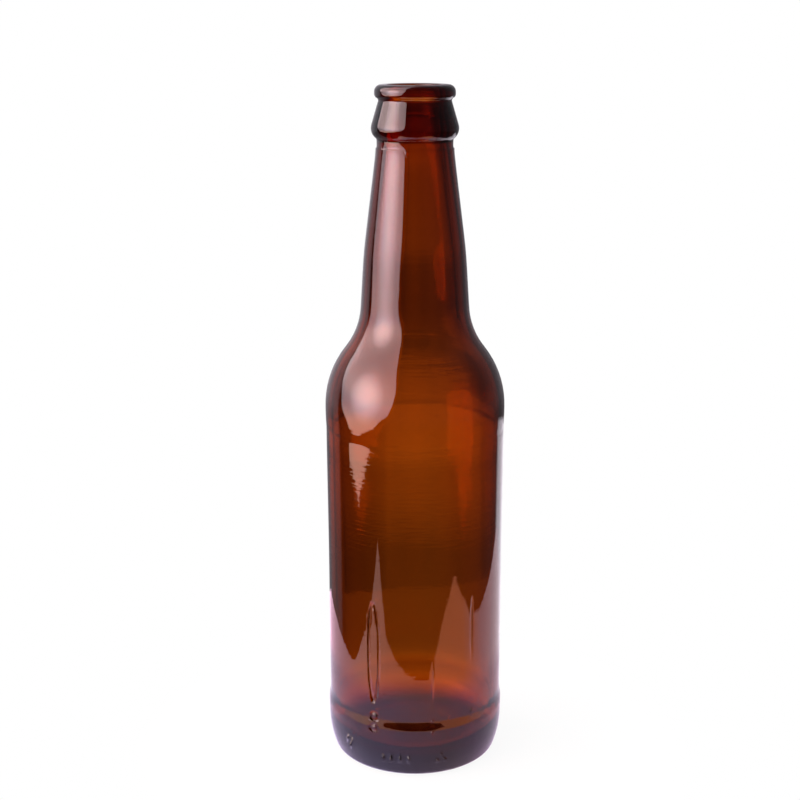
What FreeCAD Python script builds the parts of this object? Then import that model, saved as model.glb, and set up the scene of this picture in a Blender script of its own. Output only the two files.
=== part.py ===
"""Long-neck glass beer bottle, as a parametric FreeCAD document.

One piece of blown glass. The outside is one outline turned about +Z: a pushed-up base with a flat
bearing ring, a rounded heel, a recessed label panel between two contact bands, an ogee shoulder, a neck
with two tapers and a crown finish. The cavity is a second outline, turned the same way and cut out.
Millimetres, +Z up, origin at the middle of the plane that the bottle stands on.
"""
import FreeCAD, Part
import math
import os
from collections import namedtuple

import Sketcher
from FreeCAD import Vector

SIZES = {
    # the whole bottle
    "body_diameter": 61.0,       # over the two contact bands
    "body_height": 124.7,        # from the standing plane to the top of the shoulder band
    "neck_height": 107.3,        # from there to the sealing face
    # base and heel
    "heel_height": 13.0,         # where the heel curve meets its band
    "heel_radius": 32.0,
    "base_corner": 3.0,
    "bearing_width": 2.4,
    "bearing_ease": 0.8,
    "pushup_height": 4.5,
    # bands and label panel
    "heel_band": 4.3,
    "shoulder_band": 5.4,
    "panel_recess": 0.45,
    "panel_step": 1.8,           # height over which the recess is reached
    # shoulder and neck
    "shoulder_radius": 33.0,
    "flare_radius": 24.0,
    "lower_length": 13.5,        # of the slow lower taper, from the flare to the bend
    "lower_taper": 0.85,         # how far it leans in
    "bend_reach": 5.0,           # from either end of the bend to where the two tapers cross
    "upper_taper": 4.7,          # how far the rest leans in, from the bend's foot to the collar
    "collar_diameter": 25.2,
    "collar_depth": 20.0,        # from the sealing face to the foot of the collar
    # crown finish
    "lip_diameter": 26.6,
    "lip_top_radius": 2.3,
    "lip_side": 0.8,
    "lip_bottom_radius": 1.3,
    "lip_overhang": 1.3,         # from the lip in to the crimping groove
    "groove_fillet": 0.8,
    "bead_proud": 1.85,          # from the collar out to the bead
    "bead_radius": 4.0,
    "bead_depth": 14.0,
    "bead_fillet": 0.6,
    # cavity
    "finish_wall": 5.0,          # from the lip in to the bore
    "mouth_rounding": 1.2,
    "throat_depth": 10.0,        # where the bore starts to open
    "throat_radius": 40.0,
    "wall": 2.8,
    "base_thickness": 5.0,
    "floor_radius": 62.0,
    "inner_corner": 7.5,
}
SHEET = "Sizes"
NODE = "bottle"
FOLDER = "parts"
ROOT, HORIZONTAL_AXIS, VERTICAL_AXIS = (-1, 1), -1, -2
START, END, MIDDLE = 1, 2, 3
QUARTER, HALF = math.pi / 2, math.pi

Piece = namedtuple("Piece", "index head tail")


# ---------------------------------------------------------------- document and sheet


def new_document():
    doc = FreeCAD.newDocument("LongNeckBottle")
    sheet = doc.addObject("Spreadsheet::Sheet", SHEET)
    for row, (alias, value) in enumerate(SIZES.items(), start=1):
        sheet.set(f"A{row}", alias)
        sheet.set(f"B{row}", str(value))
        sheet.setAlias(f"B{row}", alias)
    doc.recompute()
    return doc


def cell(name):
    return f"{SHEET}.{name}"


def half_of(name):
    return f"{SHEET}.{name} / 2"


def below_top(name):
    """Expression for the height of something that lies the named size below the sealing face."""
    return f"{cell('body_height')} + {cell('neck_height')} - {cell(name)}"


def top_height():
    return SIZES["body_height"] + SIZES["neck_height"]


def bore_radius():
    return SIZES["lip_diameter"] / 2 - SIZES["finish_wall"]


def waist_radius():
    """Radius where the lower taper ends and the bend starts."""
    return SIZES["collar_diameter"] / 2 + SIZES["upper_taper"]


# ---------------------------------------------------------------- sketching


def sketch_on_xz(body, name):
    sketch = body.newObject("Sketcher::SketchObject", name)
    plane = next(f for f in body.Origin.OriginFeatures if f.Role == "XZ_Plane")
    sketch.AttachmentSupport = [(plane, "")]
    sketch.MapMode = "FlatFace"
    return sketch


def line(sketch, start, end):
    index = sketch.addGeometry(Part.LineSegment(Vector(*start, 0), Vector(*end, 0)), False)
    return Piece(index, START, END)


def arc(sketch, centre, radius, first, last):
    """An arc travelled from angle first to angle last, in radians, either way round."""
    circle = Part.Circle(Vector(*centre, 0), Vector(0, 0, 1), radius)
    low, high = min(first, last), max(first, last)
    index = sketch.addGeometry(Part.ArcOfCircle(circle, low, high), False)
    if last > first:
        return Piece(index, START, END)
    return Piece(index, END, START)


def rule(sketch, kind, *references):
    sketch.addConstraint(Sketcher.Constraint(kind, *references))


def join(sketch, kind, chain):
    """Join each piece's tail to the next one's head, as Tangent or Coincident."""
    for before, after in zip(chain, chain[1:]):
        rule(sketch, kind, before.index, before.tail, after.index, after.head)


def size(sketch, name, kind, references, value, expression):
    """A named dimension, set to its value now and bound to the sheet."""
    index = sketch.addConstraint(Sketcher.Constraint(kind, *references, value))
    sketch.renameConstraint(index, name)
    sketch.setExpression(f"Constraints.{name}", expression)


def across(sketch, name, piece, point, value, expression):
    """The distance of a piece's point from the bottle's axis."""
    size(sketch, name, "DistanceX", (*ROOT, piece.index, point), value, expression)


def height(sketch, name, piece, point, value, expression):
    """The height of a piece's point above the standing plane."""
    size(sketch, name, "DistanceY", (*ROOT, piece.index, point), value, expression)


def radius(sketch, name, piece):
    """An arc's radius, from the size of that name."""
    size(sketch, name, "Radius", (piece.index,), SIZES[name], cell(name))


# ---------------------------------------------------------------- where lines and arcs meet


def polar(centre, distance, angle):
    return (centre[0] + distance * math.cos(angle), centre[1] + distance * math.sin(angle))


def angle_to(start, end):
    return math.atan2(end[1] - start[1], end[0] - start[0])


def side_of(total, run):
    """The other short side of a right triangle with this long side."""
    return math.sqrt(total**2 - run**2)


def heading_past(start, centre, clearance):
    """Heading of the line from start that passes centre on its left side at this clearance."""
    return angle_to(start, centre) + math.asin(clearance / math.dist(start, centre))


def tangent_across(low, high, both_radii):
    """Angle on the arc about low where the line leaves that crosses over to the arc about high."""
    return angle_to(low, high) - math.acos(both_radii / math.dist(low, high))


Ogee = namedtuple("Ogee", "shoulder flare turn slope root waist crossing")


def ogee(inset):
    """Arc centres, angles and points of shoulder and neck, inset from the outside by this much."""
    s = SIZES
    waist = waist_radius()
    root = waist + s["lower_taper"]
    slope = math.atan2(s["lower_taper"], s["lower_length"])
    shoulder = (s["body_diameter"] / 2 - s["shoulder_radius"], s["body_height"])
    flare_x = root + s["flare_radius"] * math.cos(slope)
    reach = s["shoulder_radius"] + s["flare_radius"]
    flare = (flare_x, s["body_height"] + side_of(reach, flare_x - shoulder[0]))
    outer_root = polar(flare, s["flare_radius"], HALF + slope)
    outer_waist = (waist, outer_root[1] + s["lower_length"])
    root_point = polar(outer_root, inset, HALF + slope)
    waist_point = polar(outer_waist, inset, HALF + slope)
    crossing = polar(waist_point, s["bend_reach"], QUARTER + slope)
    return Ogee(shoulder, flare, angle_to(shoulder, flare), slope, root_point, waist_point, crossing)


def draw_ogee(sketch, shape, inset, heading, end):
    """Shoulder, flare, lower taper, bend and upper taper, which heads for end from the crossing."""
    s = SIZES
    turn, slope = shape.turn, shape.slope
    lean = heading - QUARTER
    bend_radius = s["bend_reach"] / math.tan((lean - slope) / 2)
    bend_centre = polar(shape.waist, bend_radius, HALF + slope)
    shoulder = arc(sketch, shape.shoulder, s["shoulder_radius"] - inset, 0, turn)
    flare = arc(sketch, shape.flare, s["flare_radius"] + inset, HALF + turn, HALF + slope)
    lower = line(sketch, shape.root, shape.waist)
    bend = arc(sketch, bend_centre, bend_radius, slope, lean)
    upper = line(sketch, polar(bend_centre, bend_radius, lean), end)
    cross_tapers(sketch, shape.crossing, lower, upper)
    return [shoulder, flare, lower, bend, upper]


def cross_tapers(sketch, crossing, lower, upper):
    """A construction point where the two tapers cross, which sets how far the bend reaches."""
    point = sketch.addGeometry(Part.Point(Vector(*crossing, 0)), True)
    rule(sketch, "PointOnObject", point, START, lower.index)
    rule(sketch, "PointOnObject", point, START, upper.index)
    ends = (lower.index, END, point, START)
    size(sketch, "bend_reach", "Distance", ends, SIZES["bend_reach"], cell("bend_reach"))


# ---------------------------------------------------------------- outside


def draw_base(sketch):
    """Push-up, bearing ring, base corner and heel curve."""
    s = SIZES
    corner_reach = s["heel_radius"] - s["base_corner"]
    heel_centre = (s["body_diameter"] / 2 - s["heel_radius"], s["heel_height"])
    bearing = heel_centre[0] + side_of(corner_reach, s["heel_height"] - s["base_corner"])
    ring = bearing - s["bearing_width"]
    rise, ease = s["pushup_height"], s["bearing_ease"]
    dome_radius = (ring**2 + rise**2) / (2 * rise) - ease
    dome_centre = (0, rise - dome_radius)
    ease_centre = (ring, ease)
    corner_centre = (bearing, s["base_corner"])
    lean = angle_to(dome_centre, ease_centre)
    turn = angle_to(heel_centre, corner_centre)

    dome = arc(sketch, dome_centre, dome_radius, QUARTER, lean)
    ease_arc = arc(sketch, ease_centre, ease, HALF + lean, 3 * QUARTER)
    bearing_line = line(sketch, (ring, 0), (bearing, 0))
    corner = arc(sketch, corner_centre, s["base_corner"], -QUARTER, turn)
    heel = arc(sketch, heel_centre, s["heel_radius"], turn, 0)
    chain = [dome, ease_arc, bearing_line, corner, heel]
    join(sketch, "Tangent", chain)
    rule(sketch, "PointOnObject", dome.index, MIDDLE, VERTICAL_AXIS)
    rule(sketch, "PointOnObject", dome.index, dome.head, VERTICAL_AXIS)
    rule(sketch, "PointOnObject", bearing_line.index, START, HORIZONTAL_AXIS)
    rule(sketch, "Horizontal", bearing_line.index)
    height(sketch, "pushup_height", dome, dome.head, rise, cell("pushup_height"))
    ends = (bearing_line.index, START, bearing_line.index, END)
    size(sketch, "bearing_width", "DistanceX", ends, s["bearing_width"], cell("bearing_width"))
    radius(sketch, "bearing_ease", ease_arc)
    radius(sketch, "base_corner", corner)
    radius(sketch, "heel_radius", heel)
    return chain


def draw_bands(sketch, heel):
    """Heel band, step, label panel, step and shoulder band, upwards from the heel curve."""
    s = SIZES
    half = s["body_diameter"] / 2
    recessed = half - s["panel_recess"]
    heel_top = s["heel_height"] + s["heel_band"]
    panel_low = heel_top + s["panel_step"]
    band_low = s["body_height"] - s["shoulder_band"]
    panel_high = band_low - s["panel_step"]
    corners = [
        (half, s["heel_height"]),
        (half, heel_top),
        (recessed, panel_low),
        (recessed, panel_high),
        (half, band_low),
        (half, s["body_height"]),
    ]
    chain = [line(sketch, low, high) for low, high in zip(corners, corners[1:])]
    heel_band, low_step, panel, high_step, shoulder_band = chain
    join(sketch, "Tangent", [heel, heel_band])
    join(sketch, "Coincident", chain)
    for upright in (heel_band, panel, shoulder_band):
        rule(sketch, "Vertical", upright.index)
    half_rule = half_of("body_diameter")
    recess_rule = f"{half_rule} - {cell('panel_recess')}"
    heel_top_rule = f"{cell('heel_height')} + {cell('heel_band')}"
    band_low_rule = f"{cell('body_height')} - {cell('shoulder_band')}"
    across(sketch, "heel_band_radius", heel_band, START, half, half_rule)
    across(sketch, "shoulder_band_radius", shoulder_band, END, half, half_rule)
    across(sketch, "panel_radius", panel, START, recessed, recess_rule)
    height(sketch, "heel_height", heel_band, START, s["heel_height"], cell("heel_height"))
    height(sketch, "heel_band_top", heel_band, END, heel_top, heel_top_rule)
    height(sketch, "panel_low", panel, START, panel_low, f"{heel_top_rule} + {cell('panel_step')}")
    height(sketch, "panel_high", panel, END, panel_high, f"{band_low_rule} - {cell('panel_step')}")
    height(sketch, "band_low", shoulder_band, START, band_low, band_low_rule)
    height(sketch, "body_height", shoulder_band, END, s["body_height"], cell("body_height"))
    return shoulder_band


def draw_neck(sketch, shoulder_band):
    """Shoulder, flare, lower taper, bend and upper taper, up to the foot of the collar."""
    s = SIZES
    collar = (s["collar_diameter"] / 2, top_height() - s["collar_depth"])
    shape = ogee(0)
    chain = draw_ogee(sketch, shape, 0, angle_to(shape.crossing, collar), collar)
    shoulder, flare, lower, bend, upper = chain
    join(sketch, "Tangent", [shoulder_band, *chain])
    radius(sketch, "shoulder_radius", shoulder)
    radius(sketch, "flare_radius", flare)
    waist_rule = f"{half_of('collar_diameter')} + {cell('upper_taper')}"
    root_rule = f"{waist_rule} + {cell('lower_taper')}"
    across(sketch, "root_radius", lower, START, shape.root[0], root_rule)
    across(sketch, "waist_radius", lower, END, shape.waist[0], waist_rule)
    ends = (lower.index, START, lower.index, END)
    size(sketch, "lower_length", "DistanceY", ends, s["lower_length"], cell("lower_length"))
    across(sketch, "collar_radius", upper, END, collar[0], half_of("collar_diameter"))
    height(sketch, "collar_foot", upper, END, collar[1], below_top("collar_depth"))
    return upper


def draw_bead(sketch, upper):
    """Collar, fillet and reinforcing bead, the bead up to the cone that leads to the lip."""
    s = SIZES
    top = top_height()
    collar = s["collar_diameter"] / 2
    bead = (collar + s["bead_proud"] - s["bead_radius"], top - s["bead_depth"])
    fillet_x = collar + s["bead_fillet"]
    drop = side_of(s["bead_radius"] + s["bead_fillet"], fillet_x - bead[0])
    fillet = (fillet_x, bead[1] - drop)
    foot = angle_to(bead, fillet)
    groove, low_lip = groove_centres()
    cone = tangent_across(bead, groove, s["bead_radius"] + s["groove_fillet"])

    collar_line = line(sketch, (collar, top - s["collar_depth"]), (collar, fillet[1]))
    fillet_arc = arc(sketch, fillet, s["bead_fillet"], HALF, HALF + foot)
    bead_arc = arc(sketch, bead, s["bead_radius"], foot, cone)
    cone_foot = polar(bead, s["bead_radius"], cone)
    cone_line = line(sketch, cone_foot, polar(groove, s["groove_fillet"], HALF + cone))
    chain = [collar_line, fillet_arc, bead_arc, cone_line]
    join(sketch, "Coincident", [upper, collar_line])
    join(sketch, "Tangent", chain)
    rule(sketch, "Vertical", collar_line.index)
    radius(sketch, "bead_fillet", fillet_arc)
    radius(sketch, "bead_radius", bead_arc)
    bead_rule = f"{half_of('collar_diameter')} + {cell('bead_proud')} - {cell('bead_radius')}"
    across(sketch, "bead_centre", bead_arc, MIDDLE, bead[0], bead_rule)
    height(sketch, "bead_height", bead_arc, MIDDLE, bead[1], below_top("bead_depth"))
    return cone_line, cone


def groove_centres():
    """Centres of the crimping groove's fillet and of the rounding under the lip."""
    s = SIZES
    low_lip_x = s["lip_diameter"] / 2 - s["lip_bottom_radius"]
    low_lip = (low_lip_x, top_height() - s["lip_top_radius"] - s["lip_side"])
    groove_x = s["lip_diameter"] / 2 - s["lip_overhang"] + s["groove_fillet"]
    drop = side_of(s["groove_fillet"] + s["lip_bottom_radius"], groove_x - low_lip_x)
    return (groove_x, low_lip[1] - drop), low_lip


def draw_lip(sketch, cone_line, cone):
    """Crimping groove, rounded locking lip and flat sealing face, in to the axis."""
    s = SIZES
    top = top_height()
    lip = s["lip_diameter"] / 2
    groove, low_lip = groove_centres()
    high_lip = (lip - s["lip_top_radius"], top - s["lip_top_radius"])
    reach = angle_to(groove, low_lip)

    groove_arc = arc(sketch, groove, s["groove_fillet"], HALF + cone, reach)
    low_arc = arc(sketch, low_lip, s["lip_bottom_radius"], reach - HALF, 0)
    side = line(sketch, (lip, low_lip[1]), (lip, high_lip[1]))
    high_arc = arc(sketch, high_lip, s["lip_top_radius"], 0, QUARTER)
    face = line(sketch, (high_lip[0], top), (0, top))
    join(sketch, "Tangent", [cone_line, groove_arc, low_arc, side, high_arc, face])
    rule(sketch, "Vertical", side.index)
    rule(sketch, "Horizontal", face.index)
    rule(sketch, "PointOnObject", face.index, face.tail, VERTICAL_AXIS)
    radius(sketch, "groove_fillet", groove_arc)
    radius(sketch, "lip_bottom_radius", low_arc)
    radius(sketch, "lip_top_radius", high_arc)
    groove_rule = f"{half_of('lip_diameter')} - {cell('lip_overhang')} + {cell('groove_fillet')}"
    top_rule = f"{cell('body_height')} + {cell('neck_height')}"
    across(sketch, "groove_centre", groove_arc, MIDDLE, groove[0], groove_rule)
    across(sketch, "lip_radius", side, START, lip, half_of("lip_diameter"))
    ends = (side.index, START, side.index, END)
    size(sketch, "lip_side", "DistanceY", ends, s["lip_side"], cell("lip_side"))
    height(sketch, "top_height", face, START, top, top_rule)
    return face


def outer_form(body):
    """The bottle's outside, turned as a full solid."""
    sketch = sketch_on_xz(body, "OuterOutline")
    base_chain = draw_base(sketch)
    shoulder_band = draw_bands(sketch, base_chain[-1])
    upper = draw_neck(sketch, shoulder_band)
    cone_line, cone = draw_bead(sketch, upper)
    face = draw_lip(sketch, cone_line, cone)
    axis = line(sketch, (0, top_height()), (0, SIZES["pushup_height"]))
    join(sketch, "Coincident", [face, axis, base_chain[0]])
    return turned(body, "PartDesign::Revolution", "OuterForm", sketch)


# ---------------------------------------------------------------- cavity


def draw_floor(sketch):
    """Domed floor, inner corner and straight wall up to the shoulder."""
    s = SIZES
    inner = s["body_diameter"] / 2 - s["wall"]
    corner, dome = s["inner_corner"], s["floor_radius"]
    floor_height = s["pushup_height"] + s["base_thickness"]
    dome_centre = (0, floor_height - dome)
    corner_x = inner - corner
    corner_centre = (corner_x, dome_centre[1] + side_of(dome + corner, corner_x))
    lean = angle_to(dome_centre, corner_centre)

    floor = arc(sketch, dome_centre, dome, QUARTER, lean)
    corner_arc = arc(sketch, corner_centre, corner, lean - HALF, 0)
    wall = line(sketch, (inner, corner_centre[1]), (inner, s["body_height"]))
    join(sketch, "Tangent", [floor, corner_arc, wall])
    rule(sketch, "PointOnObject", floor.index, MIDDLE, VERTICAL_AXIS)
    rule(sketch, "PointOnObject", floor.index, floor.head, VERTICAL_AXIS)
    rule(sketch, "Vertical", wall.index)
    floor_rule = f"{cell('pushup_height')} + {cell('base_thickness')}"
    height(sketch, "floor_height", floor, floor.head, floor_height, floor_rule)
    radius(sketch, "floor_radius", floor)
    radius(sketch, "inner_corner", corner_arc)
    inner_rule = f"{half_of('body_diameter')} - {cell('wall')}"
    across(sketch, "inner_radius", wall, END, inner, inner_rule)
    height(sketch, "body_height", wall, END, s["body_height"], cell("body_height"))
    return floor, wall


def draw_passage(sketch, wall):
    """Inner shoulder and neck, throat and straight bore up to the sealing face."""
    s = SIZES
    top = top_height()
    bore = bore_radius()
    shape = ogee(s["wall"])
    throat = (bore + s["throat_radius"], top - s["throat_depth"])
    heading = heading_past(shape.crossing, throat, s["throat_radius"])
    throat_foot = polar(throat, s["throat_radius"], QUARTER + heading)
    chain = draw_ogee(sketch, shape, s["wall"], heading, throat_foot)
    shoulder, flare, lower, bend, upper = chain
    throat_arc = arc(sketch, throat, s["throat_radius"], QUARTER + heading, HALF)
    bore_line = line(sketch, (bore, throat[1]), (bore, top))
    join(sketch, "Tangent", [wall, *chain, throat_arc, bore_line])
    rule(sketch, "Vertical", bore_line.index)
    flare_rule = f"{cell('flare_radius')} + {cell('wall')}"
    shoulder_rule = f"{cell('shoulder_radius')} - {cell('wall')}"
    inner_shoulder, inner_flare = s["shoulder_radius"] - s["wall"], s["flare_radius"] + s["wall"]
    size(sketch, "shoulder_radius", "Radius", (shoulder.index,), inner_shoulder, shoulder_rule)
    size(sketch, "flare_radius", "Radius", (flare.index,), inner_flare, flare_rule)
    radius(sketch, "throat_radius", throat_arc)
    ends = (lower.index, START, lower.index, END)
    size(sketch, "lower_length", "DistanceY", ends, s["lower_length"], cell("lower_length"))
    follow_outer_taper(sketch, lower, shape)
    bore_rule = f"{half_of('lip_diameter')} - {cell('finish_wall')}"
    across(sketch, "bore_radius", bore_line, END, bore, bore_rule)
    height(sketch, "throat_height", bore_line, START, throat[1], below_top("throat_depth"))
    top_rule = f"{cell('body_height')} + {cell('neck_height')}"
    height(sketch, "top_height", bore_line, END, top, top_rule)
    return bore_line


def follow_outer_taper(sketch, lower, shape):
    """Hold the inner taper parallel to the outer one, one wall away from it."""
    slant = f"sqrt({cell('lower_taper')} ^ 2 + {cell('lower_length')} ^ 2)"
    outer_rule = f"{half_of('collar_diameter')} + {cell('upper_taper')}"
    waist_rule = f"{outer_rule} - {cell('wall')} * {cell('lower_length')} / {slant}"
    root_rule = f"{waist_rule} + {cell('lower_taper')}"
    across(sketch, "root_radius", lower, START, shape.root[0], root_rule)
    across(sketch, "waist_radius", lower, END, shape.waist[0], waist_rule)


def cavity(body):
    """The room for the drink, with the passage through the neck, cut out of the turned solid."""
    sketch = sketch_on_xz(body, "CavityOutline")
    floor, wall = draw_floor(sketch)
    bore_line = draw_passage(sketch, wall)
    bore, top = bore_radius(), top_height()
    floor_height = SIZES["pushup_height"] + SIZES["base_thickness"]
    lid = line(sketch, (bore, top), (0, top))
    axis = line(sketch, (0, top), (0, floor_height))
    join(sketch, "Coincident", [bore_line, lid, axis, floor])
    rule(sketch, "Horizontal", lid.index)
    rule(sketch, "PointOnObject", lid.index, lid.tail, VERTICAL_AXIS)
    return turned(body, "PartDesign::Groove", "Cavity", sketch)


def turned(body, kind, name, sketch):
    """A Revolution or Groove of a sketch, all the way round the bottle's axis."""
    feature = body.newObject(kind, name)
    feature.Profile = sketch
    feature.ReferenceAxis = (sketch, ["V_Axis"])
    feature.Angle = 360.0
    feature.Reversed = False
    body.Document.recompute()
    return feature


def mouth_edge(body, before):
    """Round the edge between the bore and the sealing face."""
    bore, top = bore_radius(), top_height()
    found = []
    for number, edge in enumerate(before.Shape.Edges, start=1):
        box = edge.BoundBox
        level = abs(box.ZMin - top) + abs(box.ZMax - top)
        if level < 1e-3 and abs(box.XMax - bore) < 1e-3:
            found.append(f"Edge{number}")
    fillet = body.newObject("PartDesign::Fillet", "MouthEdge")
    fillet.Base = (before, found)
    fillet.Radius = SIZES["mouth_rounding"]
    fillet.setExpression("Radius", cell("mouth_rounding"))
    body.Document.recompute()
    return fillet


# ---------------------------------------------------------------- build, check and write


def build():
    doc = new_document()
    body = doc.addObject("PartDesign::Body", "Bottle")
    body.Label = NODE
    body.Placement = FreeCAD.Placement()
    outside = outer_form(body)
    hollow = cavity(body)
    edge = mouth_edge(body, hollow)
    body.Tip = edge
    doc.recompute()
    check(doc, body)
    volumes = [feature.Shape.Volume for feature in (outside, hollow, edge)]
    if not volumes[0] > volumes[1] > volumes[2] > 0:
        raise RuntimeError(f"each step should take glass away, but the volumes are {volumes}")
    return body


def check(doc, body):
    """Stop if any object failed, or if the bottle isn't one valid solid."""
    for item in doc.Objects:
        if "Invalid" in item.State or "Error" in item.State:
            raise RuntimeError(f"{item.Name} has state {item.State}")
    for item in body.Group:
        if item.isDerivedFrom("Sketcher::SketchObject") and item.solve() != 0:
            raise RuntimeError(f"{item.Name} doesn't solve")
    shape = body.Shape
    if shape.isNull() or not shape.isValid() or len(shape.Solids) != 1:
        raise RuntimeError("the bottle isn't one valid solid")


def write(body):
    os.makedirs(FOLDER, exist_ok=True)
    body.Shape.exportStep(f"{FOLDER}/{body.Label}.step")


write(build())
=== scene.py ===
"""Looks of the long-neck glass beer bottle.

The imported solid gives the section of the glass, outside and inside. It is turned again as one fine, smooth
mesh, with what a mould leaves on real glass: parting lines, soft panel steps, a knurled bearing ring, lines
that the mould drew, generic marks and a wall that varies a little. The glass is clear, and its amber is
absorption inside it. The bottle stands on a white card in a world that is plain white to the camera; only
the glass sees a softbox and a bright band there.

Metres, +Z up. The camera looks along +Y, and azimuths are degrees to the right of the front, -Y.
"""
import math

import bmesh
import bpy
import numpy as np
from mathutils import Matrix, Vector, noise


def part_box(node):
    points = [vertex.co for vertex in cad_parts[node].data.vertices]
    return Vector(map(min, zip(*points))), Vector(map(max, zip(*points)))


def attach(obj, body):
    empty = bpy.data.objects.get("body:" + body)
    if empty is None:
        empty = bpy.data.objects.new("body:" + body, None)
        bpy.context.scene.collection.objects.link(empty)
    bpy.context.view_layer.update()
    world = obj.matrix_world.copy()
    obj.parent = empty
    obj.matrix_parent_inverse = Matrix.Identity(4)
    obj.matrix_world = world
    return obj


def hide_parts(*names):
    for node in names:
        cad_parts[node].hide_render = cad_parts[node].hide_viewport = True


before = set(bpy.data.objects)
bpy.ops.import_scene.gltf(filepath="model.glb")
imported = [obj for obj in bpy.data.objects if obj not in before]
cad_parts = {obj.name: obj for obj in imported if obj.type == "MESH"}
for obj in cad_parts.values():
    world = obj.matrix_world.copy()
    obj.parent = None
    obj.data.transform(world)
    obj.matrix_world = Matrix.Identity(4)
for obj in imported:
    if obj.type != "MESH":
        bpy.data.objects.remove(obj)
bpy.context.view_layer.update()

MM = 0.001
BODY = "root"
NODE = "bottle"
low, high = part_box(NODE)
TOP = high.z
RADIUS = (high.x - low.x) / 2

# reading the solid's section
NEARLY = 1e-6                  # points so near each other are one
LONG_RUN = 2                   # a run so many times as long as the next one is a straight wall
# turning
COLUMNS = 240
FINE_STEP = 0.1 * MM
ROUNDING = 0.25 * MM           # how much the glass flow softens every corner
ROUNDING_SIGMAS = 4            # how far the smoothing of corners reaches
BLUR_SIGMAS = 3                # how far the smoothing of the wall reaches
LONGEST_STEP = 2.5 * MM
SHORTEST_STEP = 0.16 * MM
STEP_PER_RADIUS = 0.1
LEAST_BEND = 1e-6              # per metre
BEND_REACH = 1.5 * MM          # how far to each side of a bend its short steps go on
# parting lines
COLLAR_LINE_DEPTH = 20.4 * MM  # under the top
COLLAR_LINE_PROUD = 0.2 * MM
COLLAR_LINE_EDGE = 0.3 * MM
COLLAR_LINE_FADE = 1.4 * MM
SEAM_PROUD = 0.1 * MM
SEAM_WIDTH = 0.35 * MM
SEAM_FOOT = 3 * MM             # lowest height of a seam
SEAM_COLUMNS = (-0.9, -0.45, 0.45, 0.9)
# panel steps: how deep each part of them is, where it starts and how long it is
PANEL_DROP = 0.45 * MM
PANEL_EASE = 0.12 * MM
PANEL_EASE_LENGTH = 5 * MM
PANEL_SLOPE = 0.22 * MM
PANEL_SLOPE_LENGTH = 50 * MM
UPPER_STEP = 118.4 * MM
UPPER_LEAD = 1 * MM
UPPER_LENGTH = 1.9 * MM
LOWER_STEP = 17.0 * MM
LOWER_LENGTH = 4.8 * MM
LOWER_EXTRA = 0.07 * MM
LOWER_EXTRA_LENGTH = 20 * MM
STEP_WALL = ([15 * MM, 17 * MM, 123 * MM, 124.5 * MM], [0, 1, 1, 0])  # heights, share of the steps there
# wall: where it is evened out, and how it follows the outside
EVEN_LOW = 60 * MM
EVEN_HIGH = 205 * MM
EVEN_FADE = 12 * MM
EVEN_SIGMA = 22 * MM
FOLLOW_SIGMA = 1.0 * MM
# height, and how much thicker the wall is there
WALL_TRIM_WIDTH = 3.2 * MM
WALL_TRIM = (
    (112 * MM, -0.09 * MM), (116 * MM, -0.057 * MM), (120 * MM, -0.061 * MM), (124 * MM, -0.023 * MM),
    (128 * MM, 0.06 * MM), (132 * MM, 0.033 * MM), (136 * MM, 0.042 * MM), (140 * MM, -0.073 * MM),
    (144 * MM, -0.259 * MM), (148 * MM, -0.025 * MM), (152 * MM, -0.069 * MM), (156 * MM, 0.124 * MM),
    (160 * MM, 0.071 * MM), (164 * MM, 0.066 * MM), (168 * MM, 0.085 * MM), (172 * MM, 0.041 * MM),
)
# bearing ring
KNURL_RISE = 0.3 * MM
KNURL_COUNT = 60
KNURL_FULLNESS = 0.7           # the lower, the squarer a rib's ends
RING_TOP = KNURL_RISE * 1.001  # stations of the outside below it lie on the ring
# vertical lines drawn by the mould as it opened: azimuth, half width, proud, lowest, highest
DRAWN_LINES = (
    (11.4, 0.4 * MM, -0.3 * MM, 25 * MM, 40 * MM),
    (39.8, 0.45 * MM, -0.3 * MM, 42 * MM, 64 * MM),
)
LINE_COLUMNS = (-1.6, -1.3, -1.0, -0.75, -0.5, -0.25, 0.0, 0.25, 0.5, 0.75, 1.0, 1.3, 1.6)
LINE_REACH = 3                 # in half widths
LINE_ENDS = 6                  # a line runs out over a sixth of its length at each end
# ring-shaped grooves round the drop that the mould drew and round two dots under it: azimuth, height, half
# width, half height, half width of the groove
GROOVES = (
    (-27.9, 45.0 * MM, 1.95 * MM, 17.5 * MM, 0.42 * MM),
    (-27.6, 21.6 * MM, 1.35 * MM, 1.35 * MM, 0.45 * MM),
    (-27.6, 17.6 * MM, 1.35 * MM, 1.2 * MM, 0.45 * MM),
)
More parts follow.
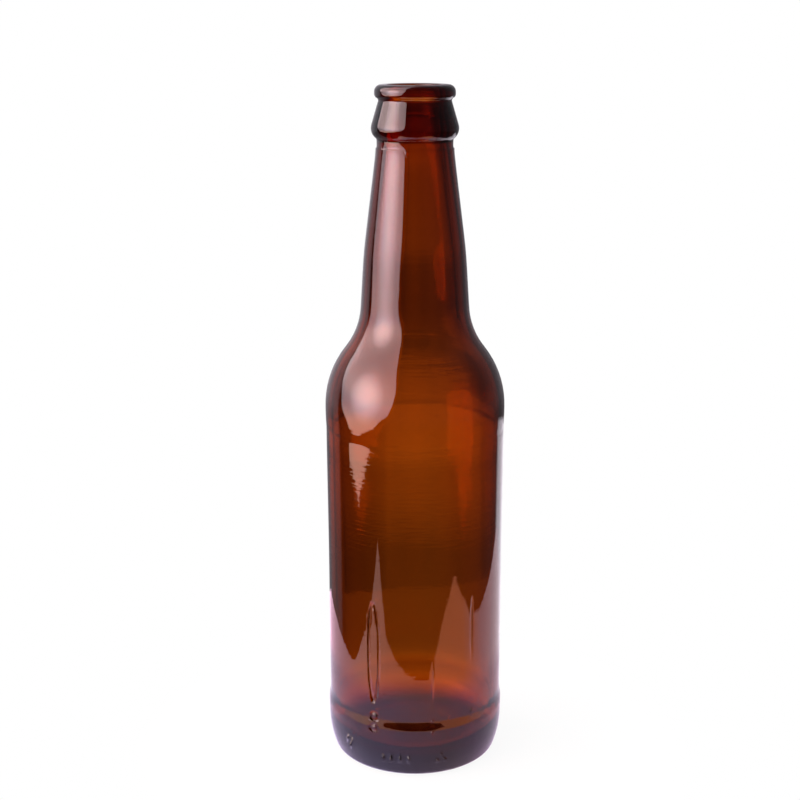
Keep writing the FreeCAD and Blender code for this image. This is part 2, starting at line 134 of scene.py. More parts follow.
# raised marks: azimuth, height, half width across, half height, proud
MARKS = (
    (-50.2, 10.2 * MM, 0.6 * MM, 0.6 * MM, 0.5 * MM),
    (-48.2, 7.8 * MM, 0.6 * MM, 0.6 * MM, 0.5 * MM),
    (-46.0, 9.8 * MM, 0.6 * MM, 0.6 * MM, 0.5 * MM),
    (-21.2, 6.9 * MM, 0.6 * MM, 1.5 * MM, 0.55 * MM),
    (-15.6, 7.1 * MM, 0.6 * MM, 1.5 * MM, 0.55 * MM),
    (-9.8, 7.3 * MM, 0.6 * MM, 1.5 * MM, 0.55 * MM),
    (-4.0, 7.4 * MM, 0.6 * MM, 1.5 * MM, 0.55 * MM),
    (17.6, 8.6 * MM, 0.65 * MM, 0.65 * MM, 0.5 * MM),
    (15.0, 6.4 * MM, 0.65 * MM, 0.65 * MM, 0.5 * MM),
    (20.2, 6.4 * MM, 0.65 * MM, 0.65 * MM, 0.5 * MM),
    (11.4, 21.4 * MM, 0.6 * MM, 0.6 * MM, 0.45 * MM),
    (11.4, 17.2 * MM, 0.7 * MM, 0.7 * MM, 0.45 * MM),
    (40.0, 21.6 * MM, 0.45 * MM, 1.5 * MM, 0.4 * MM),
    (-12.2, 210.6 * MM, 0.5 * MM, 0.9 * MM, 0.25 * MM),
)
MARK_SUNK = 0.3                # how deep a mark's middle is sunk, as a share of how proud it stands
BASE_RADIUS = 5 * MM           # no mark is so near the axis
# waviness: how high, and the waves' seed, how many round the bottle and how long up it
INNER_WAVE = 0.11 * MM
INNER_WAVES = (3.0, 2.2, 60 * MM)
INNER_STREAK = 0.02 * MM
STREAKS = (7.0, 9.0, 90 * MM)
FINE_STREAKS = (9.0, 17.0, 110 * MM)
FINE_STREAK_SHARE = 0.5
OUTER_WAVE = 0.012 * MM
OUTER_WAVES = (11.0, 1.6, 30 * MM)
CALM_DEPTH = 15 * MM           # the finish has no waves inside
CALM_FADE = 12 * MM
# glass
GLASS_IOR = 1.52
AMBER_DENSITY = 1250.0
AMBER_COLOR = (0.808, 0.518, 0.0, 1.0)
PEEL_DEPTH = 0.004 * MM
RIPPLE_DEPTH = 0.009 * MM
RIPPLE_SCALE = (90, 90, 1100)  # long round the bottle, short up it
# camera
CAMERA_DISTANCE = 0.490
CAMERA_ABOVE_TOP = 0.0188
CAMERA_PITCH = 14.24
LENS = 66.6
SHIFT_X = -0.0187


# ---------------------------------------------------------------- section of the glass


def cad_section(obj):
    """The solid's section, from the middle of the push-up round the outside to the middle of the floor."""
    bm = bmesh.new()
    bm.from_mesh(obj.data)
    bmesh.ops.remove_doubles(bm, verts=bm.verts, dist=NEARLY)
    geometry = bm.verts[:] + bm.edges[:] + bm.faces[:]
    cut = bmesh.ops.bisect_plane(bm, geom=geometry, dist=NEARLY, plane_co=(0, 0, 0), plane_no=(0, 1, 0))
    links = {}
    for edge in cut["geom_cut"]:
        if isinstance(edge, bmesh.types.BMEdge) and min(v.co.x for v in edge.verts) > -NEARLY:
            first, second = edge.verts
            links.setdefault(first, []).append(second)
            links.setdefault(second, []).append(first)
    ends = [v for v, near in links.items() if len(near) == 1]
    here = min(ends, key=lambda v: v.co.z)
    path, seen = [], set()
    while here is not None:
        path.append((max(here.co.x, 0.0), here.co.z))
        seen.add(here)
        here = next((v for v in links[here] if v not in seen), None)
    bm.free()
    return np.array(path)


def through(points, step):
    """A smooth curve through the points, as a fine polyline of Hermite runs. Where a long run meets a
    short one, the long one is a straight wall and the curve leaves it in line with it."""
    runs = np.diff(points, axis=0)
    lengths = np.linalg.norm(runs, axis=1)
    slopes = runs / lengths[:, None]
    tangents = np.vstack([slopes[:1], slopes[:-1] + slopes[1:], slopes[-1:]])
    before, after = lengths[:-1, None], lengths[1:, None]
    tangents[1:-1] = np.where(before > LONG_RUN * after, slopes[:-1], tangents[1:-1])
    tangents[1:-1] = np.where(after > LONG_RUN * before, slopes[1:], tangents[1:-1])
    tangents /= np.linalg.norm(tangents, axis=1)[:, None]
    fine = []
    for start, end, t0, t1, length in zip(points, points[1:], tangents, tangents[1:], lengths):
        count = max(2, int(math.ceil(length / step)))
        t = (np.arange(count) / count)[:, None]
        fine.append(
            (2 * t**3 - 3 * t**2 + 1) * start
            + (t**3 - 2 * t**2 + t) * length * t0
            + (3 * t**2 - 2 * t**3) * end
            + (t**3 - t**2) * length * t1
        )
    return np.vstack(fine + [points[-1:]])


def even(points, step):
    """The polyline resampled at even steps."""
    along = np.r_[0, np.cumsum(np.linalg.norm(np.diff(points, axis=0), axis=1))]
    where = np.linspace(0, along[-1], int(along[-1] / step) + 1)
    return np.c_[np.interp(where, along, points[:, 0]), np.interp(where, along, points[:, 1])]


def bell(sigma, step, sigmas):
    """A smoothing kernel and how many steps it reaches to each side."""
    reach = int(sigmas * sigma / step)
    kernel = np.exp(-0.5 * (np.arange(-reach, reach + 1) * step / sigma) ** 2)
    return kernel / kernel.sum(), reach


def softened(points, step, sigma):
    """The polyline with its corners softened. It is mirrored at both ends, which lie on the axis."""
    kernel, reach = bell(sigma, step, ROUNDING_SIGMAS)
    mirror = np.array([-1, 1])
    padded = np.vstack([points[reach:0:-1] * mirror, points, points[-2:-reach - 2:-1] * mirror])
    return np.c_[[np.convolve(padded[:, i], kernel, "valid") for i in (0, 1)]].T


def blurred(values, sigma):
    """Values at fine steps of the section, smoothed along it."""
    kernel, reach = bell(sigma, FINE_STEP, BLUR_SIGMAS)
    return np.convolve(np.pad(values, reach, "reflect", reflect_type="odd"), kernel, "valid")


def stations(points, step):
    """Fewer points where the section is straight and more where it bends."""
    turn = np.unwrap(np.arctan2(*np.gradient(points, axis=0).T[::-1]))
    bend = np.abs(np.gradient(turn)) / step
    spacing = np.clip(STEP_PER_RADIUS / np.maximum(bend, LEAST_BEND), SHORTEST_STEP, LONGEST_STEP)
    reach = int(BEND_REACH / step)
    spacing = np.array([spacing[max(0, i - reach):i + reach + 1].min() for i in range(len(spacing))])
    count = np.r_[0, np.cumsum(step / spacing)]
    where = np.linspace(0, count[-2], int(count[-2]) + 2)
    index = np.interp(where, count[:-1], np.arange(len(points)))
    return np.c_[[np.interp(index, np.arange(len(points)), points[:, i]) for i in (0, 1)]].T


def ease(value):
    """0 below nought, 1 above one, and smooth between."""
    value = np.clip(value, 0, 1)
    return value * value * (3 - 2 * value)


def falling(height, start, length):
    """1 below the start and 0 above the length, smooth between."""
    return 1 - ease((height - start) / length)


def soft_steps(section):
    """What the glass leaves of the mould's two panel steps: the upper one as a short soft step in a long
    gentle slope, the lower one spread out and a little deeper."""
    heights = section[:, 1]
    wall = np.interp(heights, *STEP_WALL)
    sharp = PANEL_DROP - PANEL_EASE - PANEL_SLOPE
    upper = (PANEL_EASE * falling(heights, UPPER_STEP, PANEL_EASE_LENGTH)
             + PANEL_SLOPE * falling(heights, UPPER_STEP - PANEL_SLOPE_LENGTH, PANEL_SLOPE_LENGTH)
             + sharp * falling(heights, UPPER_STEP - UPPER_LEAD, UPPER_LENGTH))
    lower = (PANEL_DROP + LOWER_EXTRA * falling(heights, LOWER_STEP, LOWER_EXTRA_LENGTH)
             - (PANEL_DROP + 2 * LOWER_EXTRA) * falling(heights, LOWER_STEP, LOWER_LENGTH))
    wanted = RADIUS - np.where(heights > (UPPER_STEP + LOWER_STEP) / 2, upper, lower)
    return wall * (wanted - section[:, 0])


def even_wall(section, crest):
    """The wall's thickness evened out from the panel to the neck, so that the inside follows the outside
    as blown glass does."""
    outer, inner = section[:crest + 1], section[crest + 1:]
    rows = np.flatnonzero((inner[:, 1] > EVEN_LOW) & (inner[:, 1] < EVEN_HIGH))
    near = np.array([np.argmin(((outer - point) ** 2).sum(axis=1)) for point in inner[rows]])
    across = inner[rows] - outer[near]
    wall = np.linalg.norm(across, axis=1)
    heights = inner[rows, 1]
    wanted = blurred(wall, EVEN_SIGMA)
    for height, extra in WALL_TRIM:
        wanted += extra * np.exp(-0.5 * ((heights - height) / WALL_TRIM_WIDTH) ** 2)
    moved = outer[near] + across * (wanted / wall)[:, None]
    weight = ease((heights - EVEN_LOW) / EVEN_FADE) * ease((EVEN_HIGH - heights) / EVEN_FADE)
    for axis in (0, 1):
        inner[rows, axis] += weight * (blurred(moved[:, axis], FOLLOW_SIGMA) - inner[rows, axis])


def glass_section():
    """The stations of the section that is turned, and the number of the highest, where the outside ends."""
    section = through(cad_section(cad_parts[NODE]), FINE_STEP)
    section = softened(even(section, FINE_STEP), FINE_STEP, ROUNDING)
    section[0, 0] = section[-1, 0] = 0.0
    crest = int(np.argmax(section[:, 1]))
    outer = np.arange(len(section)) <= crest
    below = TOP - COLLAR_LINE_DEPTH - section[:, 1]
    rise = np.clip(below / COLLAR_LINE_EDGE + 1, 0, 1)
    section[:, 0] += outer * COLLAR_LINE_PROUD * rise * np.exp(-np.clip(below, 0, None) / COLLAR_LINE_FADE)
    section[:, 0] += outer * soft_steps(section)
    even_wall(section, crest)
    knurled = outer & (section[:, 1] < KNURL_RISE)
    section[knurled, 1] = KNURL_RISE
    section = stations(section, FINE_STEP)
    return section, int(np.argmax(section[:, 1]))


# ---------------------------------------------------------------- turning


def front(degrees):
    """The angle from +X round the bottle at an azimuth."""
    return math.radians(degrees - 90)


def column_angles():
    """Even columns, with narrow ones at the two mould seams and at the drawn lines."""
    even_ones = np.arange(COLUMNS) * math.tau / COLUMNS
    narrow = np.array(SEAM_COLUMNS) * SEAM_WIDTH / RADIUS
    drawn = [front(turn) + offset * half / RADIUS for turn, half, *_ in DRAWN_LINES for offset in LINE_COLUMNS]
    return np.unique(np.r_[even_ones, narrow % math.tau, math.pi + narrow, np.array(drawn) % math.tau])


def waves(angle, height, seed, across, along):
    """Slow waves in the glass: so many round the bottle, and so long up it."""
    spot = Vector((math.cos(angle) * across, math.sin(angle) * across, height / along + seed))
    return noise.noise(spot)


def relief(angle, radius, height, outside):
    """How far the surface stands proud there, along its own normal."""
    if not outside:
        calm = min(1.0, max(0.0, (TOP - CALM_DEPTH - height) / CALM_FADE))
        broad = waves(angle, height, *INNER_WAVES)
        streaks = waves(angle, height, *STREAKS) + FINE_STREAK_SHARE * waves(angle, height, *FINE_STREAKS)
        return calm * (INNER_WAVE * broad + INNER_STREAK * streaks)
    push = OUTER_WAVE * waves(angle, height, *OUTER_WAVES)
    if SEAM_FOOT < height < TOP - COLLAR_LINE_DEPTH:
        off_seam = abs(math.remainder(angle, math.pi)) * radius
        push += SEAM_PROUD * math.exp(-((off_seam / SEAM_WIDTH) ** 2))
    for turn, half, proud, lowest, highest in DRAWN_LINES:
        across = math.remainder(angle - front(turn), math.tau) * radius / half
        along = (height - lowest) / (highest - lowest)
        if abs(across) < LINE_REACH and 0 < along < 1:
            run_out = min(1, LINE_ENDS * along, LINE_ENDS - LINE_ENDS * along)
            push += proud * math.exp(-across * across) * run_out
    return push


def knurl(angle, radius, ring_low, ring_high):
    """How far down the bearing ring's small ribs reach there, from 0 to 1."""
    across = (radius - ring_low) / (ring_high - ring_low)
    return math.sin(math.pi * across) ** KNURL_FULLNESS * (0.5 + 0.5 * math.cos(KNURL_COUNT * angle))


def turned_points(section, crest, angles):
    """The points of every ring of the section, between its two ends on the axis."""
    slope = np.gradient(section, axis=0)
    normal = np.c_[slope[:, 1], -slope[:, 0]]
    normal /= np.linalg.norm(normal, axis=1)[:, None]
    flat = section[:crest][section[:crest, 1] < RING_TOP, 0]
    ring_low, ring_high = flat.min(), flat.max()
    verts = [Vector((0, 0, section[0, 1]))]
    for row, (radius, height) in enumerate(section[1:-1], start=1):
        out, up = normal[row]
        for angle in angles:
            push = relief(angle, radius, height, row <= crest)
            r, z = radius + out * push, height + up * push
            if row <= crest and height < RING_TOP:
                z -= KNURL_RISE * knurl(angle, radius, ring_low, ring_high)
            verts.append(Vector((r * math.cos(angle), r * math.sin(angle), z)))
    verts.append(Vector((0, 0, section[-1, 1])))
    return verts


def turn_glass():
    """The bottle as one closed mesh: rings of the section joined up, closed at the axis."""
    section, crest = glass_section()
    angles = column_angles()
    verts = turned_points(section, crest, angles)
    count = len(angles)
    rings = len(section) - 2
    last = len(verts) - 1
    bottom_ring, top_ring = 1, 1 + (rings - 1) * count
    faces = []
    for j in range(count):
        k = (j + 1) % count
        faces.append((0, bottom_ring + k, bottom_ring + j))
        faces.append((last, top_ring + j, top_ring + k))
    for i in range(rings - 1):
        a, b = 1 + i * count, 1 + (i + 1) * count
        for j in range(count):
            k = (j + 1) % count
            faces.append((a + j, a + k, b + k, b + j))
    mesh = bpy.data.meshes.new("glass")
    mesh.from_pydata(verts, [], faces)
    mesh.validate()
    obj = bpy.data.objects.new("glass", mesh)
    bpy.context.scene.collection.objects.link(obj)
    raise_marks(obj, section[:crest + 1])
    obj.data.polygons.foreach_set("use_smooth", [True] * len(obj.data.polygons))
    return obj


def on_outside(outer, turn, height):
    """Where the outside is there: X out of the glass, Y round it and Z up it."""
    row = np.argmin(np.abs(outer[:, 1] - height) + (outer[:, 0] < BASE_RADIUS))
    run, rise = outer[row + 1] - outer[row - 1]
    lean = Matrix.Rotation(math.atan2(-run, rise), 4, "Y")
    return Matrix.Rotation(front(turn), 4, "Z") @ Matrix.Translation((outer[row, 0], 0, height)) @ lean


def ring(into, matrix, half_width, half_height, tube):
    """A closed oval ring of round section."""
    around, across = 72, 12
    proud = Vector((1, 0, 0))
    rows = []
    for i in range(around):
        turn = math.tau * i / around
        out = Vector((0, math.cos(turn) * half_height, math.sin(turn) * half_width)).normalized()
        middle = Vector((0, math.cos(turn) * half_width, math.sin(turn) * half_height))
        row = []
        for j in range(across):
            angle = math.tau * j / across
            spot = middle + tube * (math.cos(angle) * out + math.sin(angle) * proud)
            row.append(into.verts.new(matrix @ spot))
        rows.append(row)
    for i in range(around):
        near, far = rows[i], rows[(i + 1) % around]
        for j in range(across):
            k = (j + 1) % across
            into.faces.new((near[j], near[k], far[k], far[j]))


def worked(glass, tool_mesh, operation):
    """Joins the tool's shape to the glass, or cuts it out."""
    mesh = bpy.data.meshes.new("tool")
    bmesh.ops.recalc_face_normals(tool_mesh, faces=tool_mesh.faces)
    tool_mesh.to_mesh(mesh)
    tool_mesh.free()
    tool = bpy.data.objects.new("tool", mesh)
    bpy.context.scene.collection.objects.link(tool)
    step = glass.modifiers.new("tool", "BOOLEAN")
    step.operation, step.solver, step.object = operation, "MANIFOLD", tool
    evaluated = glass.evaluated_get(bpy.context.evaluated_depsgraph_get())
    joined = bpy.data.meshes.new_from_object(evaluated)
    joined.materials.clear()
    glass.modifiers.clear()
    glass.data = joined
    bpy.data.objects.remove(tool)


def raise_marks(glass, outer):
    """The grooves the mould drew, the generic marks on the heel and the one under the collar."""
    grooves = bmesh.new()
    for turn, height, half_width, half_height, tube in GROOVES:
        ring(grooves, on_outside(outer, turn, height), half_width, half_height, tube)
    worked(glass, grooves, "DIFFERENCE")
    marks = bmesh.new()
    for turn, height, half_width, half_height, proud in MARKS:
        size = Matrix.Diagonal(((1 + MARK_SUNK) * proud, half_width, half_height, 1))
        place = on_outside(outer, turn, height) @ (Matrix.Translation((-MARK_SUNK * proud, 0, 0)) @ size)
        bmesh.ops.create_icosphere(marks, subdivisions=3, radius=1.0, matrix=place)
    worked(glass, marks, "UNION")


# ---------------------------------------------------------------- materials


class Graph:
    """A node tree with short calls for the nodes used here."""

    def __init__(self, tree):
        self.tree = tree
        tree.nodes.clear()

    def add(self, kind, inputs=(), **settings):
        node = self.tree.nodes.new(kind)
        for name, value in settings.items():
            setattr(node, name, value)
        for name, value in dict(inputs).items():
            self.feed(node.inputs[name], value)
        return node

    def feed(self, socket, value):
        if isinstance(value, bpy.types.NodeSocket):
            self.tree.links.new(value, socket)
        else:
            socket.default_value = value

    def math(self, operation, *values, clamp=False):
        node = self.add("ShaderNodeMath", dict(enumerate(values)), operation=operation, use_clamp=clamp)
        return node.outputs[0]

    def vector(self, operation, *values):
        return self.add("ShaderNodeVectorMath", dict(enumerate(values)), operation=operation).outputs[0]

    def length(self, vector):
        return self.add("ShaderNodeVectorMath", {0: vector}, operation="LENGTH").outputs["Value"]

    def degrees(self, angle):
        return self.math("MULTIPLY", angle, 180 / math.pi)

    def azimuth(self, x, y):
        return self.degrees(self.math("ARCTAN2", x, self.math("MULTIPLY", y, -1.0)))

    def color_ramp(self, value, stops):
        """A colour read off a line of (position, colour) stops."""
        low, high = stops[0][0], stops[-1][0]
        spread = self.add("ShaderNodeMapRange", {"Value": value, "From Min": low, "From Max": high})
        node = self.add("ShaderNodeValToRGB", {"Fac": spread.outputs["Result"]})
        elements = node.color_ramp.elements
        while len(elements) > 1:
            elements.remove(elements[-1])
        for index, (position, color) in enumerate(stops):
            place = (position - low) / (high - low)
            element = elements[0] if index == 0 else elements.new(place)
            element.position = place
            element.color = (*color, 1)
        return node.outputs["Color"]

    def ramp(self, value, stops):
        """A value read off a line of (position, level) stops."""
        return self.color_ramp(value, [(position, (level, level, level)) for position, level in stops])

    def line(self, value, stops):
        """A value in degrees read off a line of (position, degrees) stops."""
        levels = [level for _, level in stops]
        least, most = min(levels), max(levels)
        share = self.ramp(value, [(position, (level - least) / (most - least)) for position, level in stops])
        return self.math("MULTIPLY_ADD", share, most - least, least)

    def edge(self, value, width):
        """0 below nought and 1 above the width, soft between."""
        node = self.add("ShaderNodeMapRange", {"Value": value, "From Min": 0.0, "From Max": width},
                        interpolation_type="SMOOTHSTEP")
        return node.outputs["Result"]

    def mix(self, factor, first, second):
        """The first colour where the factor is 0 and the second where it is 1."""
        factor_input, first_color, second_color, color_output = 0, 6, 7, 2
        node = self.add("ShaderNodeMix", data_type="RGBA")
        for index, value in ((factor_input, factor), (first_color, first), (second_color, second)):
            self.feed(node.inputs[index], value)
        return node.outputs[color_output]

    def level(self, value):
        """The value as a grey."""
        return self.add("ShaderNodeCombineColor", {0: value, 1: value, 2: value}).outputs[0]

    def scaled(self, color, value):
        """The colour times a value, which may be more than 1."""
        return self.add("ShaderNodeVectorMath", {0: color, "Scale": value}, operation="SCALE").outputs[0]


def glass_material():
    """Clear glass with a fine peel and a flat ripple on it, a faint haze, and amber inside."""
    material = bpy.data.materials.new("amber_glass")
    material.use_nodes = True
    graph = Graph(material.node_tree)
    place = graph.add("ShaderNodeTexCoord").outputs["Object"]
    peel = graph.add("ShaderNodeTexNoise", {"Vector": place, "Scale": 900.0, "Detail": 2.0})
    bump = graph.add("ShaderNodeBump", {"Height": peel.outputs["Fac"], "Strength": 0.5, "Distance": PEEL_DEPTH})
    flat = graph.vector("MULTIPLY", place, RIPPLE_SCALE)
    ripple = graph.add("ShaderNodeTexNoise", {"Vector": flat, "Scale": 1.0, "Detail": 1.0})
    bump = graph.add("ShaderNodeBump", {
        "Height": ripple.outputs["Fac"],
        "Strength": 1.0,
        "Distance": RIPPLE_DEPTH,
        "Normal": bump.outputs["Normal"],
    })
    haze = graph.add("ShaderNodeTexNoise", {"Vector": place, "Scale": 60.0, "Detail": 4.0})
    rough = graph.add("ShaderNodeMapRange", {
        "Value": haze.outputs["Fac"],
        "From Min": 0.45,
        "From Max": 0.75,
        "To Min": 0.0,
        "To Max": 0.02,
    })
    glass = graph.add("ShaderNodeBsdfPrincipled", {
        "Base Color": (1, 1, 1, 1),
        "Roughness": rough.outputs["Result"],
        "IOR": GLASS_IOR,
        "Transmission Weight": 1.0,
        "Normal": bump.outputs["Normal"],
    })
    amber = graph.add("ShaderNodeVolumeAbsorption", {"Color": AMBER_COLOR, "Density": AMBER_DENSITY})
    graph.add("ShaderNodeOutputMaterial", {"Surface": glass.outputs["BSDF"], "Volume": amber.outputs["Volume"]})
    return material


# ---------------------------------------------------------------- studio

WHITE = (1, 1, 1, 1)

# the white card that the bottle stands on, in metres from its axis: (x, y), front corners first
CARD = (
    (-0.191, -0.176), (-0.163, -0.166), (-0.133, -0.150), (-0.111, -0.139), (-0.087, -0.122), (-0.047, -0.117),
    (-0.010, -0.112), (0.012, -0.108), (0.032, -0.104), (0.049, -0.117), (0.064, -0.126), (0.086, -0.137),
    (0.115, -0.143), (0.167, -0.141), (0.164, -0.102), (0.164, -0.071), (0.156, -0.045), (0.161, -0.030),
    (0.166, 0.001), (0.175, 0.027), (0.182, 0.060), (0.189, 0.134), (0.190, 0.170), (0.170, 0.185),
    (0.060, 0.160), (-0.020, 0.148), (-0.090, 0.135), (-0.106, 0.112), (-0.122, 0.073), (-0.123, 0.035),
    (-0.119, 0.008), (-0.114, -0.009), (-0.110, -0.023), (-0.119, -0.041), (-0.130, -0.059), (-0.136, -0.081),
    (-0.148, -0.102), (-0.160, -0.121), (-0.172, -0.143),
)
CONTACT = low.z - 0.05 * MM
# the card by distance from the axis, in metres: its light through the glass, dark in a painted shadow under the
# bottle and dimmer further out as painted shade, how much of it glows to the camera, where the rest is paint
# that takes the shadow, and where its outer part starts in the mirror
CARD_THROUGH_GLASS = (
    (0.0, 0.3), (0.026, 0.3), (0.03, 0.7), (0.036, 1.1), (0.052, 1.1), (0.065, 0.75), (0.087, 0.5),
    (0.107, 0.45), (0.2, 0.42), (0.3, 0.42),
)
CARD_PAINT = (0.9, 0.9, 0.9, 1)
CARD_VEIL = ((0.0, 0.9), (0.04, 0.9), (0.1, 1.0), (0.3, 1.0))
CARD_OUTER = ((0, 0), (0.085, 0), (0.105, 1), (0.3, 1))
# under the bottle: a painted shadow of the bottle seen through the glass, its level by y, and where it ends by
# distance
CARD_UNDER = ((-0.03, 1.0), (-0.014, 1.0), (-0.006, 0.25), (0.03, 0.45))
CARD_UNDER_END = ((0, 0), (0.027, 0), (0.031, 1), (0.05, 1))
# a third of the light that the card sends to the glass, by azimuth: its middle, then its outer part
MIRRORED_CARD = (
    (-180, (0.36, 0.3, 0.34)), (-120, (0.37, 0.31, 0.42)), (-60, (0.38, 0.31, 0.48)), (-25, (0.37, 0.3, 0.48)),
    (5, (0.35, 0.26, 0.38)), (30, (0.34, 0.24, 0.32)), (60, (0.33, 0.23, 0.34)), (90, (0.32, 0.26, 0.34)),
    (180, (0.36, 0.3, 0.34)),
)
CARD_GLOW = (
    (-180, (0.5, 0.4, 0.5)), (-140, (0.62, 0.38, 0.5)), (-90, (0.62, 0.4, 0.48)), (-60, (0.85, 0.5, 0.44)),
    (-30, (0.7, 0.34, 0.28)), (0, (0.6, 0.28, 0.2)), (30, (0.8, 0.27, 0.15)), (60, (0.85, 0.28, 0.15)),
    (75, (0.65, 0.3, 0.27)), (90, (0.5, 0.34, 0.4)), (140, (0.46, 0.4, 0.45)), (180, (0.45, 0.4, 0.45)),
)
TABLE_GAIN = 3.0               # those tables and SOFTBOX_TINT hold a third of the colour
# light seen through the glass, by height in degrees
BAND = (
    (-30, 0.33), (-19.7, 0.34), (-18.9, 0.49), (-18.1, 0.61), (-17.3, 0.73), (-16.6, 0.8), (-16, 0.98),
    (-14.4, 1.02), (-13.7, 0.79), (-12.7, 0.7), (-12.1, 0.42), (-11.5, 0.32), (-10.4, 0.3), (-9.6, 0.3),
    (-8.8, 0.42), (-8, 0.54), (-5, 0.6), (-3.5, 0.8), (20, 0.8),
)
# how much of it shows, by degrees to either side of the nearest of four directions
WINDOW = ((0, 1.0), (5, 1.0), (6, 0.84), (7, 0.8), (13, 0.6), (20, 0.2), (32, 0.15), (38, 0.5), (45, 0.6))
WINDOW_TURN = -3.0
WINDOW_HALF = 45.0
# and a brighter stretch of it behind the bottle on the left, by azimuth
WING = ((-170, 0), (-162, 1), (-143, 1), (-138, 0), (-130, 0))
WING_LEVEL = 1.6
# the softbox that the glass mirrors: its edges as seen from the bottle, as (height, azimuth) and (azimuth,
# height), and how soft they are, all in degrees
SOFTBOX_LEFT = (
    (-20, -97), (-16, -95), (-9.5, -104), (-5, -108), (0, -110), (5, -114), (13, -120), (21, -128), (60, -128),
)
SOFTBOX_RIGHT = (
    (-20, -70), (-17.7, -68), (-16.7, -59), (-16, -54), (-7, -41), (-3, -34), (2, -32), (6, -30), (11, -28),
    (20, -27), (30, -27), (40, -30), (54, -37), (80, -45),
)
SOFTBOX_LOW = ((-110, -17), (-95, -17), (-88, -17.7), (-79, -18.8), (-69, -17.7), (-58, -16.2), (-40, -16))
SOFT_LEFT, SOFT_RIGHT, SOFT_LOW = 2.0, 1.0, 0.4
# its light: the level, the colour by height, and the fall from its bright middle (azimuth, height) over an
# oval of so many degrees
SOFTBOX = 9.5
SOFTBOX_TINT = (
    (-20, (0.73, 0.4, 0.3)), (-14, (0.69, 0.39, 0.31)), (-8, (0.52, 0.345, 0.325)), (-4, (0.42, 0.325, 0.345)),
    (3, (0.4, 0.325, 0.36)), (10, (0.46, 0.345, 0.35)), (18, (0.5, 0.365, 0.365)), (35, (0.46, 0.33, 0.335)),
    (50, (0.42, 0.3, 0.31)), (80, (0.38, 0.3, 0.33)),
)
LAMP_MIDDLE = (-68.0, 12.0)
LAMP_REACH = (28.0, 26.0)
LAMP = ((0, 1.0), (0.1, 0.93), (0.5, 0.66), (1, 0.4), (2, 0.33))
# its lower part is dimmer by height, and so is its left part, by height and azimuth
SOFTBOX_FOOT = ((-20, 0.72), (-14, 0.86), (-7, 0.9), (-3, 0.91), (2, 0.96), (5, 1.0))
DIM_HEIGHT = ((-10, 0), (-6, 0.5), (-2, 1), (3, 1), (8, 0.3), (12, 0))
DIM_TURN = ((-115, 0.3), (-97, 0.25), (-82, 0.1), (-68, 0.0), (-65, 0.0))
# the rest of the room in the mirror: its walls' light by azimuth and height, and a low rim behind on the
# right
ROOM_TURN = (
    (-180, 0.6), (-125, 0.55), (-117, 0.5), (-113, 0.03), (0, 0.02), (60, 0.05), (100, 0.1), (180, 0.3),
)
ROOM_HEIGHT = ((-25, 0.4), (-16, 0.45), (-8, 1.0), (5, 1.0))
RIM_TURN = ((120, 0), (133, 0), (139, 1), (165, 1), (180, 0.3))
RIM_HEIGHT = ((-30, 1.2), (-15.8, 1.2), (-15, 0), (0, 0))
ROOM_TINT = (1.0, 0.92, 1.02)


def card():
    """The white card. Its edge is what the lower half of the glass mirrors."""
    mesh = bpy.data.meshes.new("card")
    verts = [(0, 0, 0)] + [(x, y, 0) for x, y in CARD]
    count = len(CARD)
    mesh.from_pydata(verts, [], [(0, 1 + j, 1 + (j + 1) % count) for j in range(count)])
    obj = bpy.data.objects.new("card", mesh)
    bpy.context.scene.collection.objects.link(obj)
    obj.location.z = CONTACT
    obj.data.materials.append(card_material())


def card_material():
    """White and shaded by the bottle to the camera, plain paint to diffuse light, and tinted light to what the
    glass mirrors and lets through, with a painted shadow of the bottle in what it lets through."""
    material = bpy.data.materials.new("card_white")
    material.use_nodes = True
    graph = Graph(material.node_tree)
    path = graph.add("ShaderNodeLightPath").outputs
    place = graph.add("ShaderNodeNewGeometry").outputs["Position"]
    side = graph.add("ShaderNodeSeparateXYZ", {0: place}).outputs
    away = graph.length(graph.vector("MULTIPLY", place, (1, 1, 0)))
    turn = graph.azimuth(side["X"], side["Y"])

    # a painted shadow of the bottle on the card, which only the glass lets through
    under = graph.level(graph.ramp(side["Y"], CARD_UNDER))
    under = graph.mix(graph.ramp(away, CARD_UNDER_END), under, WHITE)
    through_glass = graph.vector("MULTIPLY", graph.ramp(away, CARD_THROUGH_GLASS), under)
    near_part = graph.scaled(graph.color_ramp(turn, MIRRORED_CARD), TABLE_GAIN)
    far_part = graph.scaled(graph.color_ramp(turn, CARD_GLOW), TABLE_GAIN)
    mirrored = graph.mix(graph.ramp(away, CARD_OUTER), near_part, far_part)
    tint = graph.mix(path["Is Transmission Ray"], mirrored, through_glass)
    light = graph.mix(path["Is Camera Ray"], tint, WHITE)

    to_glass = graph.math("ADD", path["Is Glossy Ray"], path["Is Transmission Ray"], clamp=True)
    to_camera = graph.math("MULTIPLY", path["Is Camera Ray"], graph.ramp(away, CARD_VEIL))
    share = graph.math("ADD", to_camera, to_glass, clamp=True)
    glow = graph.add("ShaderNodeEmission", {"Color": light, "Strength": 1.0})
    paint = graph.add("ShaderNodeBsdfDiffuse", {"Color": CARD_PAINT})
    mix = graph.add("ShaderNodeMixShader", {0: share, 1: paint.outputs[0], 2: glow.outputs[0]})
    graph.add("ShaderNodeOutputMaterial", {"Surface": mix.outputs[0]})
    return material


def seen_through_glass(graph, rise, turn):
    """A bright band low down on every side, with dark between."""
    off = graph.math("ADD", turn, -WINDOW_TURN)
    off = graph.math("ABSOLUTE", graph.math("WRAP", off, WINDOW_HALF, -WINDOW_HALF))
    wing = graph.math("MULTIPLY", graph.ramp(turn, WING), WING_LEVEL)
    window = graph.math("MAXIMUM", graph.ramp(off, WINDOW), wing)
    return graph.math("MULTIPLY", graph.ramp(rise, BAND), window)


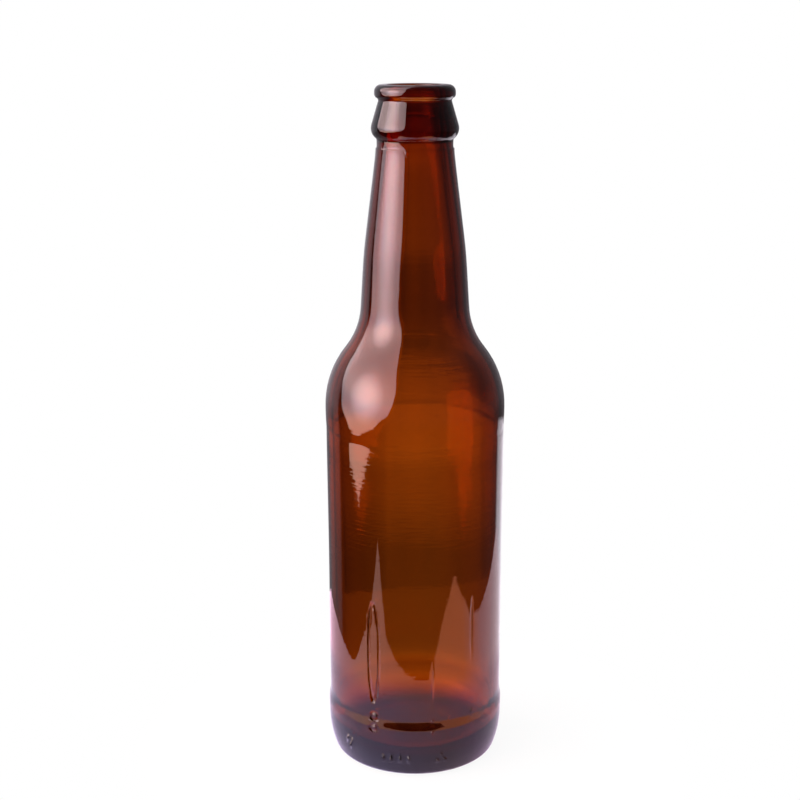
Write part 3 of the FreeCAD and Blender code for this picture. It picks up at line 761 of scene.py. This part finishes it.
def softbox_light(graph, rise, turn):
    """The softbox on the left of the bottle."""
    left = graph.edge(graph.math("SUBTRACT", turn, graph.line(rise, SOFTBOX_LEFT)), SOFT_LEFT)
    right = graph.edge(graph.math("SUBTRACT", graph.line(rise, SOFTBOX_RIGHT), turn), SOFT_RIGHT)
    lowest = graph.edge(graph.math("SUBTRACT", rise, graph.line(turn, SOFTBOX_LOW)), SOFT_LOW)
    inside = graph.math("MULTIPLY", graph.math("MULTIPLY", left, right), lowest)

    x, y = (graph.math("DIVIDE", graph.math("SUBTRACT", angle, middle), reach)
            for angle, middle, reach in zip((turn, rise), LAMP_MIDDLE, LAMP_REACH))
    spread = graph.math("ADD", graph.math("MULTIPLY", x, x), graph.math("MULTIPLY", y, y))
    lamp = graph.ramp(spread, LAMP)

    dim = graph.math("MULTIPLY", graph.ramp(rise, DIM_HEIGHT), graph.ramp(turn, DIM_TURN))
    foot = graph.math("MULTIPLY", graph.ramp(rise, SOFTBOX_FOOT), graph.math("SUBTRACT", 1.0, dim))
    level = graph.math("MULTIPLY", graph.math("MULTIPLY", inside, lamp), graph.math("MULTIPLY", foot, SOFTBOX))
    return graph.scaled(graph.color_ramp(rise, SOFTBOX_TINT), graph.math("MULTIPLY", level, TABLE_GAIN))


def room_light(graph, rise, turn):
    """The dark room round the softbox."""
    walls = graph.math("MULTIPLY", graph.ramp(turn, ROOM_TURN), graph.ramp(rise, ROOM_HEIGHT))
    rim = graph.math("MULTIPLY", graph.ramp(turn, RIM_TURN), graph.ramp(rise, RIM_HEIGHT))
    return graph.scaled(ROOM_TINT, graph.math("ADD", walls, rim))


def room():
    """White to the camera and to diffuse light. The glass alone sees the band, the softbox and the room."""
    world = bpy.data.worlds.new("room")
    world.use_nodes = True
    bpy.context.scene.world = world
    graph = Graph(world.node_tree)
    path = graph.add("ShaderNodeLightPath").outputs
    part = graph.add("ShaderNodeSeparateXYZ", {0: graph.add("ShaderNodeTexCoord").outputs["Generated"]}).outputs
    rise = graph.degrees(graph.math("ARCSINE", part["Z"]))
    turn = graph.azimuth(part["X"], part["Y"])

    softbox = softbox_light(graph, rise, turn)
    mirrored = graph.vector("ADD", softbox, room_light(graph, rise, turn))
    # a sight line that was mirrored on its way through the glass has made more bounces than crossings; at
    # the world, Ray Depth counts one more, and the half keeps clear of rounding
    bounced = graph.math("GREATER_THAN", path["Ray Depth"], graph.math("ADD", path["Transmission Depth"], 1.5))
    through_glass = graph.level(seen_through_glass(graph, rise, turn))
    through_glass = graph.vector("ADD", through_glass, graph.scaled(softbox, bounced))
    seen = graph.mix(path["Is Transmission Ray"], mirrored, through_glass)
    plain = graph.math("MAXIMUM", path["Is Camera Ray"], path["Is Diffuse Ray"])
    background = graph.add("ShaderNodeBackground", {"Color": graph.mix(plain, seen, WHITE), "Strength": 1.0})
    graph.add("ShaderNodeOutputWorld", {"Surface": background.outputs[0]})


def camera():
    data = bpy.data.cameras.new("camera")
    data.lens = LENS
    data.shift_x = SHIFT_X
    obj = bpy.data.objects.new("camera", data)
    bpy.context.scene.collection.objects.link(obj)
    obj.location = (0, -CAMERA_DISTANCE, TOP + CAMERA_ABOVE_TOP)
    obj.rotation_euler = (math.radians(90 - CAMERA_PITCH), 0, 0)
    bpy.context.scene.camera = obj


glass = turn_glass()
glass.data.materials.append(glass_material())
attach(glass, BODY)
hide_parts(NODE)
card()
room()
camera()
bpy.context.scene.view_settings.view_transform = "Standard"
